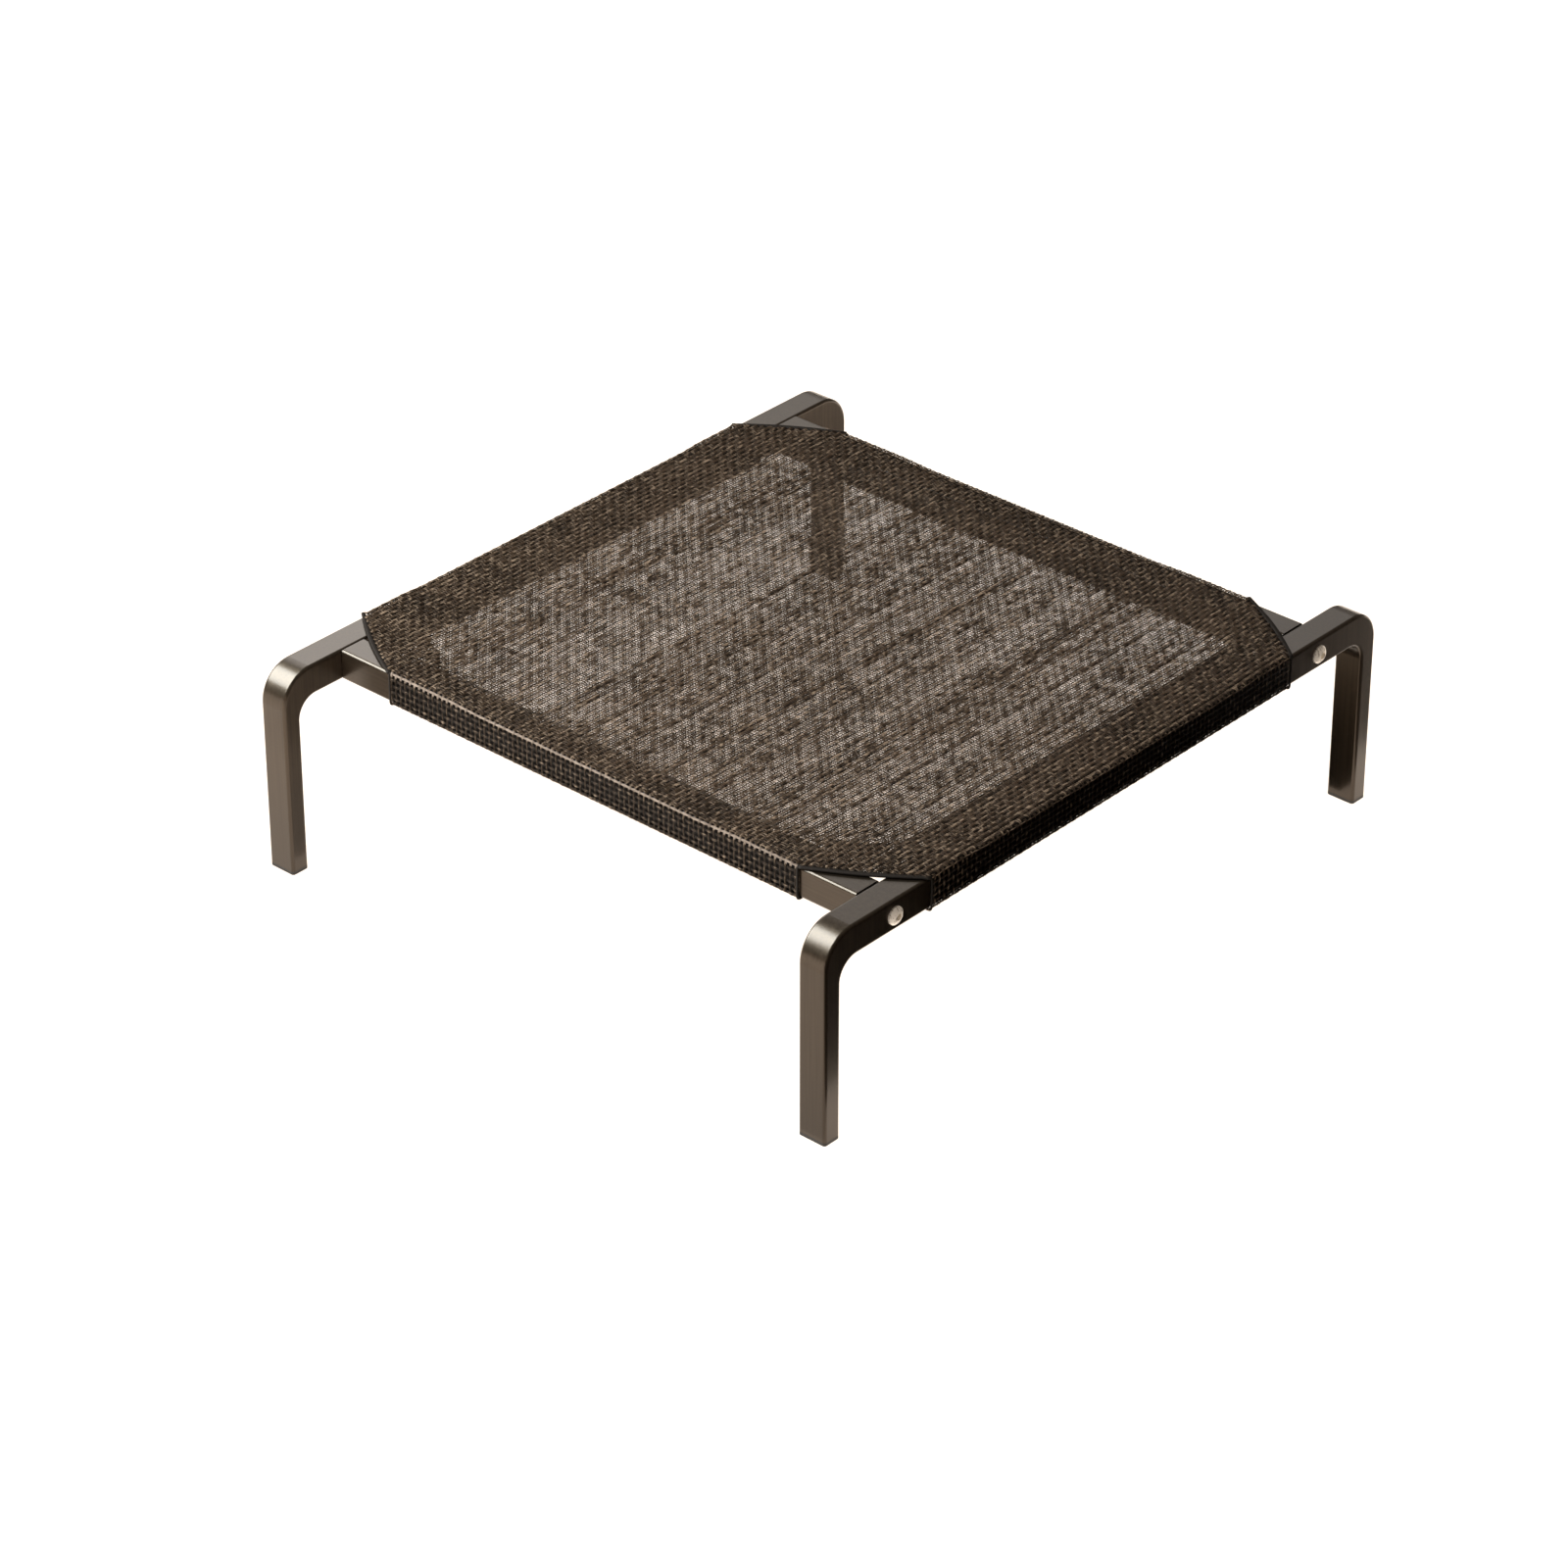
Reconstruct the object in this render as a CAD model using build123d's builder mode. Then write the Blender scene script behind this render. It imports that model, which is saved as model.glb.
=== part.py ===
"""Raised dog bed: a sling of open mesh, stretched flat over a bolted steel frame with four legs.

The bed stands on z = 0 with its origin under the middle of the sling. X runs across the bed,
Y runs along it and Z is up, in millimetres. Left and right are -X and +X, front and rear are
-Y and +Y. Each side frame is one tube bent into an arch, and the cross rails join the two.
"""

import os

from build123d import *

# The whole bed
overall_width = 560.0  # across the outer faces of the two side frames
overall_length = 632.0  # across the outer faces of the front and rear legs
rail_top = 171.0  # floor to the top of the rails

# Steel tube
rail_size = 25.0  # square section of the rails
leg_depth = 16.0  # the bend presses the legs thinner from front to rear
tube_wall = 1.2
tube_corner = 2.5  # rounding of the tube's long edges
outer_bend = 28.0  # over the top of the shoulder
inner_bend = 17.0  # under the shoulder

# Cross rails
rail_setback = 60.0  # outer face of a leg to the outer face of the cross rail
joint_gap = 0.5  # between the end of a cross rail and the side frame
insert_depth = 26.0  # threaded block inside each end of a cross rail
insert_clearance = 0.1

# Button-head bolts, M8
shank_radius = 3.9
bolt_hole_radius = 4.25
thread_hole_radius = 4.0
shank_length = 46.0
shank_chamfer = 0.8
head_radius = 7.25
head_height = 4.4
head_rim = 1.2
socket_across_flats = 5.0
socket_depth = 2.8

# Foot plugs
foot_height = 3.0  # rim that the tube stands on
foot_round = 0.8
plug_depth = 16.0
plug_wall = 2.0
plug_clearance = 0.35
rib_height = 1.4
rib_pitch = 5.0
rib_count = 3

# Sling
cloth = 1.0  # thickness of the mesh
cloth_clearance = 0.2  # between the mesh and the tube
front_edge_half = 203.0  # half the straight edge over a cross rail
side_edge_half = 207.0  # half the straight edge over a side frame
corner_hem = 35.0  # cloth folded under along each cut corner
pocket_slack = 2.0  # how far a pocket hangs below its rail
side_pocket_seam = 20.0  # inner face of a side frame to the pocket's seam on the panel
cross_pocket_seam = 6.0  # the same from a cross rail
pocket_round = 2.4

# Worked out from the above
half_width = overall_width / 2
half_length = overall_length / 2
rail_middle = rail_top - rail_size / 2
side_frame_x = half_width - rail_size / 2
cross_rail_y = half_length - rail_setback - rail_size / 2
cross_rail_length = overall_width - 2 * (rail_size + joint_gap)
bore_size = rail_size - 2 * tube_wall
bore_corner = tube_corner - tube_wall
leg_x = side_frame_x
leg_y = half_length - leg_depth / 2
panel_half_width = half_width + cloth_clearance + cloth
panel_half_length = half_length - rail_setback + cloth_clearance + cloth
panel_bottom = rail_top + cloth_clearance + cloth  # leaves room for the hems over the rails

across_names = {-1: "left", 1: "right"}
along_names = {-1: "front", 1: "rear"}
corners = [(across, along) for along in along_names for across in across_names]

parts = {}


def keep(name, part):
    """Label a finished piece and keep it for export."""
    part.label = name
    parts[name] = part


def corner_name(piece, across, along):
    """Name a piece after the corner of the bed that it belongs to."""
    return f"{piece}_{along_names[along]}_{across_names[across]}"


def arch_bar(inset, foot_z):
    """An arch in a YZ plane at x = 0: a rail with a leg bent down at each end.

    inset is how far every face lies inside the tube's outer face, so that the same bar gives
    the tube at 0 and its bore at the wall thickness.
    """
    top_z = rail_top - inset
    under_z = rail_top - rail_size + inset
    outer_length = overall_length - 2 * inset
    inner_length = overall_length - 2 * (leg_depth - inset)
    width = rail_size - 2 * inset
    edge_round = tube_corner - inset
    with BuildPart() as bar:
        with BuildSketch(Plane.YZ) as outline:
            with Locations((0, (top_z + foot_z) / 2)):
                Rectangle(outer_length, top_z - foot_z)
            fillet(outline.vertices().group_by(Axis.Y)[-1], outer_bend - inset)
            with Locations((0, (under_z + foot_z) / 2)):
                Rectangle(inner_length, under_z - foot_z, mode=Mode.SUBTRACT)
            shoulders = outline.vertices().filter_by_position(Axis.X, -inner_length / 2, inner_length / 2)
            fillet(shoulders.filter_by_position(Axis.Y, under_z, under_z), inner_bend + inset)
        extrude(amount=width / 2, both=True)
        side_edges = bar.faces().filter_by(Axis.X).edges()
        fillet(side_edges.filter_by_position(Axis.Z, foot_z + edge_round, rail_top), edge_round)
    return bar.part


def side_frame(across):
    """One bent tube with its two legs, drilled through for the bolts."""
    place = Location((across * side_frame_x, 0, 0))
    tube = arch_bar(0, foot_height).moved(place)
    bore = arch_bar(tube_wall, foot_height - tube_wall).moved(place)
    with BuildPart() as frame:
        add(tube)
        add(bore, mode=Mode.SUBTRACT)
        for along in along_names:
            hole_centre = (across * half_width, along * cross_rail_y, rail_middle)
            with Locations(Plane(origin=hole_centre, z_dir=(across, 0, 0))):
                Hole(bolt_hole_radius, rail_size)
    return frame.part


def cross_rail(along):
    """A straight square tube between the side frames."""
    with BuildPart() as rail:
        with BuildSketch(Plane.YZ):
            with Locations((along * cross_rail_y, rail_middle)):
                RectangleRounded(rail_size, rail_size, tube_corner)
                RectangleRounded(bore_size, bore_size, bore_corner, mode=Mode.SUBTRACT)
        extrude(amount=cross_rail_length / 2, both=True)
    return rail.part


def rail_insert(across, along):
    """The threaded block pressed into one end of a cross rail."""
    size = bore_size - 2 * insert_clearance
    with BuildPart() as insert:
        with BuildSketch(Plane.YZ.offset(across * cross_rail_length / 2)):
            with Locations((along * cross_rail_y, rail_middle)):
                RectangleRounded(size, size, bore_corner)
                Circle(thread_hole_radius, mode=Mode.SUBTRACT)
        extrude(amount=-across * insert_depth)
    return insert.part


def corner_bolt(across, along):
    """A button-head bolt, in from the side frame's outer face, with a hexagon socket."""
    seat = Vector(across * half_width, along * cross_rail_y, rail_middle)
    section = Plane(origin=seat, x_dir=(0, 1, 0), z_dir=(0, 0, across))
    head_top = Plane(origin=seat + Vector(across * head_height, 0, 0), z_dir=(across, 0, 0))
    with BuildPart() as bolt:
        with BuildSketch(section):
            with BuildLine():
                dome = TangentArc((0, -head_height), (head_radius, -head_rim), tangent=(1, 0))
                Polyline(
                    dome @ 1,
                    (head_radius, 0),
                    (shank_radius, 0),
                    (shank_radius, shank_length - shank_chamfer),
                    (shank_radius - shank_chamfer, shank_length),
                    (0, shank_length),
                    dome @ 0,
                )
            make_face()
        revolve(axis=Axis(seat, (1, 0, 0)))
        with BuildSketch(head_top):
            RegularPolygon(socket_across_flats / 2, 6, major_radius=False)
        extrude(amount=-socket_depth, mode=Mode.SUBTRACT)
    return bolt.part


def foot_plug(across, along):
    """A moulded plug: a rim under the tube, and a ribbed hollow stem inside it."""
    middle = (across * leg_x, along * leg_y)
    stem_inset = tube_wall + plug_clearance
    with BuildPart() as plug:
        with BuildSketch(Plane.XY):
            with Locations(middle):
                RectangleRounded(rail_size, leg_depth, tube_corner)
        extrude(amount=foot_height)
        fillet(plug.faces().sort_by(Axis.Z)[0].edges(), foot_round)
        with BuildSketch(Plane.XY.offset(foot_height)):
            with Locations(middle):
                RectangleRounded(rail_size - 2 * stem_inset, leg_depth - 2 * stem_inset, bore_corner)
        extrude(amount=plug_depth)
        for rib in range(rib_count):
            with BuildSketch(Plane.XY.offset(foot_height + (rib + 0.5) * rib_pitch)):
                with Locations(middle):
                    RectangleRounded(rail_size - 2 * tube_wall, leg_depth - 2 * tube_wall, bore_corner)
            extrude(amount=rib_height)
        with BuildSketch(Plane.XY.offset(foot_height)):
            with Locations(middle):
                hollow_inset = stem_inset + plug_wall
                Rectangle(rail_size - 2 * hollow_inset, leg_depth - 2 * hollow_inset)
        extrude(amount=plug_depth, mode=Mode.SUBTRACT)
    return plug.part


def corner_edge(across, along):
    """The two ends of the panel's cut edge at one corner: over the cross rail, then over the side frame."""
    return (
        Vector(across * front_edge_half, along * panel_half_length),
        Vector(across * panel_half_width, along * side_edge_half),
    )


def mesh_panel():
    """The lying surface: one sheet over the rails, its four corners cut off and hemmed underneath.

    A hem stops where the pockets of the two rails begin.
    """
    outline_points = []
    for across, along in ((1, -1), (1, 1), (-1, 1), (-1, -1)):
        ends = corner_edge(across, along)
        outline_points += reversed(ends) if across == along else ends
    side_pocket_depth = rail_size + side_pocket_seam + cloth
    cross_pocket_depth = rail_size + cross_pocket_seam + cloth
    with BuildPart() as panel:
        with BuildSketch(Plane.XY.offset(panel_bottom)):
            with BuildLine():
                Polyline(*outline_points, close=True)
            make_face()
        extrude(amount=cloth)
        for across, along in corners:
            over_cross_rail, over_side_frame = corner_edge(across, along)
            edge = (over_side_frame - over_cross_rail).normalized()
            inward = Vector(-across * abs(edge.Y), -along * abs(edge.X)) * corner_hem
            with BuildSketch(Plane.XY.offset(panel_bottom)):
                with BuildLine():
                    Polyline(
                        over_cross_rail,
                        over_side_frame,
                        over_side_frame + inward,
                        over_cross_rail + inward,
                        close=True,
                    )
                make_face()
                with Locations((across * half_width, 0)):
                    Rectangle(2 * side_pocket_depth, 2 * side_edge_half, mode=Mode.SUBTRACT)
                with Locations((0, along * (half_length - rail_setback))):
                    Rectangle(2 * front_edge_half, 2 * cross_pocket_depth, mode=Mode.SUBTRACT)
            extrude(amount=-cloth)
    return panel.part


def pocket(direction, rail_face, half_run, seam_inset):
    """The mesh folded round one rail, open at both ends, and sewn to the underside of the panel.

    direction points out of the bed across the rail, rail_face is the rail's outer face along it,
    half_run is half the pocket's length, and seam_inset is from the rail's inner face to the seam.
    """
    section = Plane(origin=direction * rail_face, x_dir=-direction, z_dir=-direction.cross(Vector(0, 0, 1)))
    inner_face = -cloth_clearance
    bottom = rail_top - rail_size - pocket_slack
    rail_back = rail_size + cloth_clearance
    seam = rail_size + seam_inset
    with BuildPart() as sleeve:
        with BuildSketch(section) as band:
            with BuildLine():
                Polyline(
                    (inner_face - cloth, panel_bottom),
                    (inner_face - cloth, bottom - cloth),
                    (rail_back + cloth, bottom - cloth),
                    (seam + cloth, panel_bottom),
                    (seam, panel_bottom),
                    (rail_back, bottom),
                    (inner_face, bottom),
                    (inner_face, panel_bottom),
                    close=True,
                )
            make_face()
            fillet(band.vertices().group_by(Axis.Y)[0], pocket_round)
            fillet(band.vertices().filter_by_position(Axis.Y, bottom, bottom), pocket_round - cloth)
        extrude(amount=half_run, both=True)
    return sleeve.part


for across in across_names:
    keep(f"side_frame_{across_names[across]}", side_frame(across))
    keep(
        f"mesh_pocket_{across_names[across]}",
        pocket(Vector(across, 0, 0), half_width, side_edge_half, side_pocket_seam),
    )

for along in along_names:
    keep(f"cross_rail_{along_names[along]}", cross_rail(along))
    keep(
        f"mesh_pocket_{along_names[along]}",
        pocket(Vector(0, along, 0), half_length - rail_setback, front_edge_half, cross_pocket_seam),
    )

for across, along in corners:
    keep(corner_name("rail_insert", across, along), rail_insert(across, along))
    keep(corner_name("corner_bolt", across, along), corner_bolt(across, along))
    keep(corner_name("foot_plug", across, along), foot_plug(across, along))

keep("mesh_panel", mesh_panel())

os.makedirs("parts", exist_ok=True)
for name, part in parts.items():
    export_step(part, f"parts/{name}.step")
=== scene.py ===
"""Raised dog bed: the looks. The CAD frame stays as imported from model.glb, and the sling is rebuilt yarn by
yarn.
"""

import math

import bpy
import numpy as np
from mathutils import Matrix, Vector


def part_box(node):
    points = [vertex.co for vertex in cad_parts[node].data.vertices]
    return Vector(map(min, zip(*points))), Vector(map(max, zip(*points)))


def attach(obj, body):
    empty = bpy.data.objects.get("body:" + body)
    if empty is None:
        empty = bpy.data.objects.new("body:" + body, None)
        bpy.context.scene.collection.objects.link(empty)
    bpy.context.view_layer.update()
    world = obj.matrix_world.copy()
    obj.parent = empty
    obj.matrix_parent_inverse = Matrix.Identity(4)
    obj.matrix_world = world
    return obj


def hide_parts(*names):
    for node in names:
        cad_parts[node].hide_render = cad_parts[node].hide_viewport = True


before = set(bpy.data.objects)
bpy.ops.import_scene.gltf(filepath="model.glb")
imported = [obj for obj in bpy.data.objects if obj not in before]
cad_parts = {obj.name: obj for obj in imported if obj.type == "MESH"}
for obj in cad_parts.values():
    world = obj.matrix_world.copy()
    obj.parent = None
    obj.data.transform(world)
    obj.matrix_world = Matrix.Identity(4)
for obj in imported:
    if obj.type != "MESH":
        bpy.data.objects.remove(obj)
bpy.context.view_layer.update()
rng = np.random.default_rng(7)
MM = 0.001

# ---------------------------------------------------------------- sizes, read from the CAD
side_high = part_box("side_frame_right")[1]
rail_low, rail_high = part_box("cross_rail_front")
panel_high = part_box("mesh_panel")[1]
front_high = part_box("mesh_pocket_front")[1]
right_low, right_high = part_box("mesh_pocket_right")

RAIL_TOP = rail_high.z
RAIL_BOTTOM = rail_low.z
RAIL = RAIL_TOP - RAIL_BOTTOM
FRONT_RUN = front_high.x  # half the length of the front and rear pockets
SIDE_RUN = right_high.y  # half the length of the side pockets
CUT_START = (FRONT_RUN, panel_high.y)  # the ends of the panel's cut corner at the rear right
CUT_END = (panel_high.x, SIDE_RUN)
CUT_WAY = np.array([CUT_END[0] - CUT_START[0], CUT_END[1] - CUT_START[1]])
CUT_WAY /= np.linalg.norm(CUT_WAY)
CORNERS = [
    (f"{along}_{across}", sx, sy)
    for sy, along in ((-1, "front"), (1, "rear"))
    for sx, across in ((-1, "left"), (1, "right"))
]

# ---------------------------------------------------------------- the cloth
WARP_PITCH = 4.83 * MM  # between yarns that run along Y
WEFT_PITCH = 5.0 * MM  # between yarns that run along X
WARP_STRANDS = 3  # strands side by side in a yarn that runs along Y
WEFT_STRANDS = 2
WARP_PLACES = (-1.78 * MM, -0.50 * MM, 1.12 * MM)  # of its strands, from the yarn's middle
WEFT_PLACES = (-1.25 * MM, 1.25 * MM)
WARP_HALF_WIDTHS = (0.62 * MM, 0.62 * MM, 0.93 * MM)  # of its strands
WEFT_HALF_WIDTH = 0.71 * MM
STRAND_HALF_THICK = 0.16 * MM
RECESS = 0.2 * MM  # how much lower each warp yarn's last strand lies
WARP_CRIMP = 0.12 * MM  # how far a yarn rises and dips as it crosses the others
WEFT_CRIMP = 0.42 * MM
WARP_LIFT = 0.06 * MM  # how far the warp yarns lie over the cloth's middle, and the weft yarns under it
LAYER = 0.7 * MM  # half the cloth's thickness
WANDER = 0.15 * MM  # how far a yarn strays sideways over its length
JITTER = 0.13 * MM  # how far it strays from one crossing to the next
UNEVEN = 0.07  # share by which yarns differ in width
SWELL = 0.12  # share by which a yarn's own width differs from one crossing to the next
GATHERED = (0.38, 0.42)  # share of its width that a warp and a weft yarn keep where drawn round a rail
THINNED = (0.44, 0.62)  # the same for each strand
SLOW_WAVE = 61 * MM  # the two lengths over which a yarn strays
QUICK_WAVE = 17 * MM
CLOTH_Z = RAIL_TOP + 0.75 * MM  # the cloth's middle where it lies on a rail
HEM_LIFT = 1.4 * MM  # how much the hem raises the panel
HEM = 41 * MM  # how far the hem reaches in from a cut corner
SAG = 1.6 * MM  # how much lower the panel's middle lies
INSET = 0.5 * MM  # how far short of the CAD sling's edges the cloth stops
POCKET_START = 6 * MM  # how far in from the outer face the panel hands over to a pocket
SEAM_ALLOWANCE = 8 * MM
FOLD_SOFTNESS = 2.0 * MM  # how round the cloth bends at a rail's edges
SECTION_STEP = 0.25 * MM  # between the points of a pocket's section
LEAD_IN = 20 * MM  # how far a section's line runs on at each end, for the rounding to use up
LIFT_FADE = 30 * MM  # how far round a rail the hem's lift fades out
DRAW_IN = (1 * MM, 7 * MM)  # where the yarns are drawn together, from the pocket's start round the rail
DRAW_OUT = (27 * MM, 33 * MM)  # and where they spread again
OUTER = panel_high.x - side_high.x + 0.1 * MM  # the cloth's middle to the rail's outer face
POCKET_Z = RAIL_BOTTOM - 1.1 * MM  # the cloth's middle under a rail
EDGE_WIDTH = 3.2 * MM  # of the rolled edge along a cut corner
EDGE_THICK = 2.2 * MM
EDGE_BULGE = 2.4 * MM  # how far its middle stands out, over the gap beside it, which its dark colour paints as shade
EDGE_WAY = (0.59, 0.81)  # the way it stands out
MOUTH_WIDTH = 1.8 * MM  # of the rolled edge round a pocket's mouth
MOUTH_THICK = 1.6 * MM
MOUTH_STEP = 1.0 * MM
WEFT_TAG = 1000  # the weft's strands are numbered from here
STITCH = 2.6 * MM
STITCH_PITCH = 3.6 * MM
STITCH_RADIUS = 0.28 * MM

HALF_REACH = 0.4  # the tables of random values cover this much of the cloth either way
COLUMNS = 2 * math.ceil(HALF_REACH / WARP_PITCH)
ROWS = 2 * math.ceil(HALF_REACH / WEFT_PITCH)
warp_phase = rng.uniform(0, 2 * math.pi, (COLUMNS, 3))
weft_phase = rng.uniform(0, 2 * math.pi, (ROWS, 3))
warp_width = 1 + UNEVEN * rng.standard_normal(COLUMNS)
weft_width = 1 + UNEVEN * rng.standard_normal(ROWS)
warp_jitter = JITTER * rng.standard_normal((COLUMNS, ROWS)).clip(-2, 2)
weft_jitter = JITTER * rng.standard_normal((ROWS, COLUMNS)).clip(-2, 2)
warp_swell = 1 + SWELL * rng.standard_normal((COLUMNS, ROWS)).clip(-2, 2)
weft_swell = 1 + SWELL * rng.standard_normal((ROWS, COLUMNS)).clip(-2, 2)

# ---------------------------------------------------------------- mesh helpers


def link_mesh(name, vertices, quads, material, uv=None):
    """A smooth mesh object of quads."""
    mesh = bpy.data.meshes.new(name)
    mesh.vertices.add(len(vertices))
    mesh.vertices.foreach_set("co", np.asarray(vertices, np.float32).ravel())
    mesh.loops.add(quads.size)
    mesh.loops.foreach_set("vertex_index", quads.astype(np.int32).ravel())
    mesh.polygons.add(len(quads))
    mesh.polygons.foreach_set("loop_start", np.arange(0, quads.size, 4, dtype=np.int32))
    mesh.polygons.foreach_set("use_smooth", np.ones(len(quads), bool))
    if uv is not None:
        layer = mesh.uv_layers.new(name="Yarn")
        layer.data.foreach_set("uv", uv[quads].astype(np.float32).ravel())
    mesh.update(calc_edges=True)
    mesh.validate()
    mesh.materials.append(material)
    made = bpy.data.objects.new(name, mesh)
    bpy.context.scene.collection.objects.link(made)
    return made


class Bundle:
    """Closed tubes, each given ring by ring, that become one mesh."""

    def __init__(self):
        self.vertices, self.quads, self.uv, self.count = [], [], [], 0

    def tube(self, centre, side, up, half_width, half_thick, corners=4, tag=0):
        """One tube. centre, side and up are (rings, 3), and the half sizes are numbers or one for each ring.

        Its UV map holds the distance along it, and tag plus the share of a turn round it.
        """
        centre = np.asarray(centre, float)
        n = len(centre)
        side = np.broadcast_to(np.asarray(side, float), (n, 3))
        up = np.broadcast_to(np.asarray(up, float), (n, 3))
        wide = np.broadcast_to(half_width, (n,))[:, None]
        thick = np.broadcast_to(half_thick, (n,))[:, None]
        ring = []
        for k in range(corners):
            turn = 2 * math.pi * k / corners
            ring.append(centre + side * wide * math.cos(turn) + up * thick * math.sin(turn))
        points = np.stack(ring, axis=1).reshape(-1, 3)
        start = self.count + corners * np.arange(n - 1)[:, None]
        here = np.arange(corners)[None, :]
        after = (here + 1) % corners
        ahead = start + corners
        walls = np.stack([start + here, start + after, ahead + after, ahead + here], axis=2)
        self.quads.append(walls.reshape(-1, 4))
        for base, order in ((self.count, 1), (self.count + corners * (n - 1), -1)):  # the two ends
            for k in range(1, corners - 2, 2):
                self.quads.append(np.array([[base, base + k + 2, base + k + 1, base + k][::order]]))
        run = np.concatenate([[0], np.cumsum(np.linalg.norm(np.diff(centre, axis=0), axis=1))])
        shift = rng.uniform(0, 0.05)
        along = np.repeat(run + shift, corners)
        self.uv.append(np.stack([along, tag + np.tile((np.arange(corners) + 0.5) / corners, n)], axis=1))
        self.vertices.append(points)
        self.count += len(points)

    def build(self, name, material):
        return link_mesh(
            name,
            np.concatenate(self.vertices),
            np.concatenate(self.quads),
            material,
            np.concatenate(self.uv),
        )


# ---------------------------------------------------------------- the weave


def places(pitch, low, high):
    """The indices of the yarns whose middles lie between low and high, across the flat cloth."""
    first = math.ceil(low / pitch - 0.5)
    last = math.floor(high / pitch - 0.5)
    return range(first, last + 1)


def middle(pitch, index):
    return (index + 0.5) * pitch


def crossings(pitch, low, high, finer=1):
    """Where a yarn's rings go from low to high: at every yarn that it crosses, and finer where it bends."""
    step = pitch / finer
    inside = np.arange(math.ceil(low / step - 0.5), math.floor(high / step - 0.5) + 1)
    at = (inside + 0.5) * step
    if finer % 2 == 0:
        at = np.arange(math.ceil(low / step), math.floor(high / step) + 1) * step
    at = at[(at > low + 0.2 * step) & (at < high - 0.2 * step)]
    return np.concatenate([[low], at, [high]])


def stray(phase, at):
    """How far a yarn lies to the side of its true place, along its length."""
    slow = np.sin(2 * math.pi * at / SLOW_WAVE + phase[0])
    quick = np.sin(2 * math.pi * at / QUICK_WAVE + phase[1])
    return WANDER * (0.6 * slow + 0.4 * quick)


def rise(index, pitch, at):
    """How a warp yarn rises and dips, from -1 to 1; a weft yarn does the opposite."""
    return (-1) ** (index % 2) * np.sin(math.pi * at / pitch)


def hem_distance(x, y):
    """How far a point of the panel lies inside the nearest cut corner."""
    normal = np.array([-CUT_WAY[1], CUT_WAY[0]])
    reach = CUT_START[0] * normal[0] + CUT_START[1] * normal[1]
    return reach - (np.abs(x) * normal[0] + np.abs(y) * normal[1])


def smooth(low, high, value):
    """From 0 at low to 1 at high, easing in and out."""
    t = np.clip((value - low) / (high - low), 0, 1)
    return t * t * (3 - 2 * t)


def lift(x, y):
    """How much the hem under it raises a point of the panel."""
    return HEM_LIFT * (1 - smooth(HEM - 6 * MM, HEM + 16 * MM, hem_distance(x, y)))


def panel_height(x, y):
    """The cloth's middle over the bed: level on the rails, raised on the hems, a little low between."""
    inner_x = panel_high.x - RAIL - 2 * MM
    inner_y = panel_high.y - RAIL - 2 * MM
    across = np.clip(1 - (x / inner_x) ** 2, 0, None)
    along = np.clip(1 - (y / inner_y) ** 2, 0, None)
    return CLOTH_Z + lift(x, y) - SAG * np.sqrt(across * along)


def at_crossings(table, pitch, at):
    """A row of values, one for each yarn that is crossed, read at places along a yarn."""
    grid = middle(pitch, np.arange(len(table)) - len(table) // 2)
    return np.interp(at, grid, table)


def warp_yarn(bundle, index, low, high, shape, finer=1, drawn=None):
    """A yarn along Y, from low to high. shape turns flat places and heights into points, sides and ups.

    drawn tells how far it is drawn together, from 0 to 1, at flat places.
    """
    number = index + COLUMNS // 2
    at = crossings(WEFT_PITCH, low, high, finer)
    aside = stray(warp_phase[number], at) + at_crossings(warp_jitter[number], WEFT_PITCH, at)
    x = middle(WARP_PITCH, index) + aside
    tight = drawn(x, at) if drawn else 0 * at
    swell = warp_width[number] * at_crossings(warp_swell[number], WEFT_PITCH, at)
    swell = swell * (1 - (1 - THINNED[0]) * tight)
    for strand in range(WARP_STRANDS):
        offset = WARP_PLACES[strand] * (1 - (1 - GATHERED[0]) * tight)
        height = WARP_LIFT + WARP_CRIMP * rise(index, WEFT_PITCH, at)
        if strand == WARP_STRANDS - 1:
            height = height - RECESS
        centre, up = shape(x + offset, at, height)
        wide = WARP_HALF_WIDTHS[strand] * swell
        tag = WARP_STRANDS * number + strand
        bundle.tube(centre, sideways(centre, up), up, wide, STRAND_HALF_THICK, tag=tag)


def weft_yarn(bundle, index, low, high, shape, finer=1, drawn=None):
    """A yarn along X, from low to high."""
    number = index + ROWS // 2
    at = crossings(WARP_PITCH, low, high, finer)
    aside = stray(weft_phase[number], at) + at_crossings(weft_jitter[number], WARP_PITCH, at)
    y = middle(WEFT_PITCH, index) + aside
    tight = drawn(at, y) if drawn else 0 * at
    wide = WEFT_HALF_WIDTH * weft_width[number] * at_crossings(weft_swell[number], WARP_PITCH, at)
    wide = wide * (1 - (1 - THINNED[1]) * tight)
    for strand in range(WEFT_STRANDS):
        offset = WEFT_PLACES[strand] * (1 - (1 - GATHERED[1]) * tight)
        centre, up = shape(at, y + offset, -WARP_LIFT - WEFT_CRIMP * rise(index, WARP_PITCH, at))
        tag = WEFT_TAG + WEFT_STRANDS * number + strand
        bundle.tube(centre, sideways(centre, up), up, wide, STRAND_HALF_THICK, tag=tag)


def sideways(centre, up):
    """The direction across a yarn, in the cloth."""
    ahead = np.gradient(centre, axis=0)
    across = np.cross(ahead, up)
    return across / np.linalg.norm(across, axis=1)[:, None]


def flat_shape(x, y, height):
    """The panel's own shape."""
    x, y, height = np.broadcast_arrays(x, y, height)
    points = np.stack([x, y, panel_height(x, y) + height], axis=1)
    return points, np.broadcast_to([0.0, 0.0, 1.0], points.shape)


def corner_limit(value, near, far):
    """How far a yarn runs before it meets a cut corner.

    near is (place, limit) where the cut starts, and far is the same where it ends.
    """
    if abs(value) <= near[0]:
        return near[1]
    share = (abs(value) - near[0]) / (far[0] - near[0])
    return near[1] + share * (far[1] - near[1])


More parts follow.
